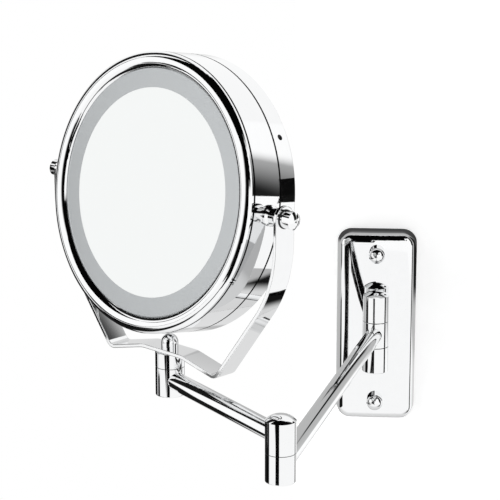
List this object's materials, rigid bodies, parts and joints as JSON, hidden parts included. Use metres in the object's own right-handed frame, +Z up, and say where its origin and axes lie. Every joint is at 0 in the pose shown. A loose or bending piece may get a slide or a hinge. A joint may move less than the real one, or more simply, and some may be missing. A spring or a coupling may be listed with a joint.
{
  "type": "extendable wall mirror",
  "caption": "Extendable wall-mounted shaving mirror: a chromed plate, two folding arms and a swivelling fork carry a tilting round double-sided mirror head with a lit ring.",
  "frame": {"origin": "centre of the wall plate's back face, on the wall's surface", "axes": "+Y into the wall, +Z up, +X to the right as seen from the room; the mirror reaches out along -Y"},
  "size_m": [0.2472, 0.3402, 0.3043],
  "materials": {
    "chrome": "bright polished chrome plate",
    "mirror": "silvered glass, clear and flawless",
    "diffuser": "frosted translucent ring, fine satin",
    "steel": "plain turned steel",
    "nylon": "dark smooth bearing plastic",
    "moulding": "white moulded plastic",
    "board": "white lacquered circuit board",
    "lamp": "clear lamp body over pale phosphor",
    "dark_plastic": "black moulded plastic",
    "battery_case": "plain printed sleeve, glossy",
    "lead_sleeve": "smooth wire insulation"
  },
  "bodies": {
    "wall_base": {"wall_plate": "chrome", "wall_screws": "chrome", "upper_lug": "chrome", "lower_lug": "chrome", "lug_screws": "steel", "wall_hinge_pin": "steel", "wall_pin_plug": "chrome", "wall_washers": "nylon"},
    "wall_arm": {"wall_knuckle": "chrome", "wall_arm_tube": "chrome", "elbow_lower_barrel": "chrome", "elbow_bolt": "steel", "elbow_spring_washer": "steel", "elbow_washer": "nylon"},
    "front_arm": {"elbow_upper_barrel": "chrome", "elbow_cap": "chrome", "front_arm_tube": "chrome", "post_barrel": "chrome", "post_plug": "chrome"},
    "yoke": {"post_bolt": "steel", "post_spring_washer": "steel", "post_washer": "nylon", "yoke_collar": "chrome", "yoke_strip": "chrome", "yoke_cap_nut": "chrome", "pivot_washers": "nylon"},
    "head": {"pivot_knobs": "chrome", "pivot_spacers": "chrome", "pivot_nuts": "steel", "drum_shell": "chrome", "front_bezel": "chrome", "rear_ring": "chrome", "ring_screws": "steel", "front_mirror": "mirror", "lit_ring": "diffuser", "rear_mirror": "mirror", "chassis": "moulding", "lamp_board": "board", "lamps": "lamp", "battery_tray": "dark_plastic", "batteries": "battery_case", "battery_contacts": "steel", "switch_body": "dark_plastic", "lead_wires": "lead_sleeve"},
    "button": {"switch_button": "chrome"}
  },
  "joints": [
    {"name": "wall_swing", "type": "hinge", "parent": "wall_base", "child": "wall_arm", "pos_m": [0, -0.026, 0], "axis": [0, 0, 1], "range_deg": [-78.9, 101.1]},
    {"name": "elbow", "type": "hinge", "parent": "wall_arm", "child": "front_arm", "pos_m": [-0.05429, -0.30273, 0], "axis": [0, 0, 1], "continuous": true},
    {"name": "yoke_swivel", "type": "hinge", "parent": "front_arm", "child": "yoke", "pos_m": [-0.13162, -0.19822, 0], "axis": [0, 0, 1], "continuous": true},
    {"name": "head_tilt", "type": "hinge", "parent": "yoke", "child": "head", "pos_m": [-0.13162, -0.19822, 0.14226], "axis": [0.7649, -0.6441, 0], "continuous": true},
    {"name": "switch_press", "type": "slide", "parent": "head", "child": "button", "axis": [0.6895, -0.453, 0.5652], "range_m": [0, 0.0012], "stiffness_N_per_m": 400, "springref_m": -0.0005}
  ]
}
